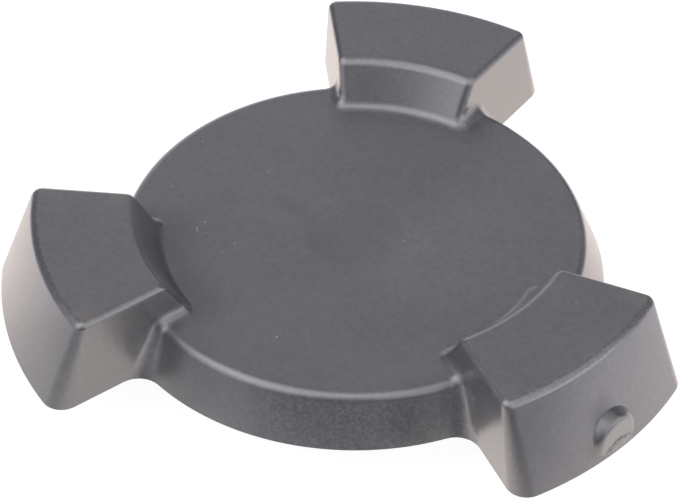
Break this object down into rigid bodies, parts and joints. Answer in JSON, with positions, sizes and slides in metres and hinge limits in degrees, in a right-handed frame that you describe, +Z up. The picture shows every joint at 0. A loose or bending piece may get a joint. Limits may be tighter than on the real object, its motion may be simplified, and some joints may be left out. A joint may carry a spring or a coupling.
{
  "type": "microwave turntable coupler",
  "caption": "Moulded drive coupler for a glass turntable: a shallow disc with raised drive lugs around it and a D-bored hub beneath",
  "frame": {"origin": "on the shaft bore's axis, at the foot of the hub", "axes": "+Z up along the shaft bore's axis, +X towards the lug that carries the gate mark"},
  "size_m": [0.0565, 0.0632, 0.015],
  "materials": {
    "moulded_plastic": "fine matt mould texture"
  },
  "bodies": {
    "root": {"coupler": "moulded_plastic"}
  },
  "joints": []
}
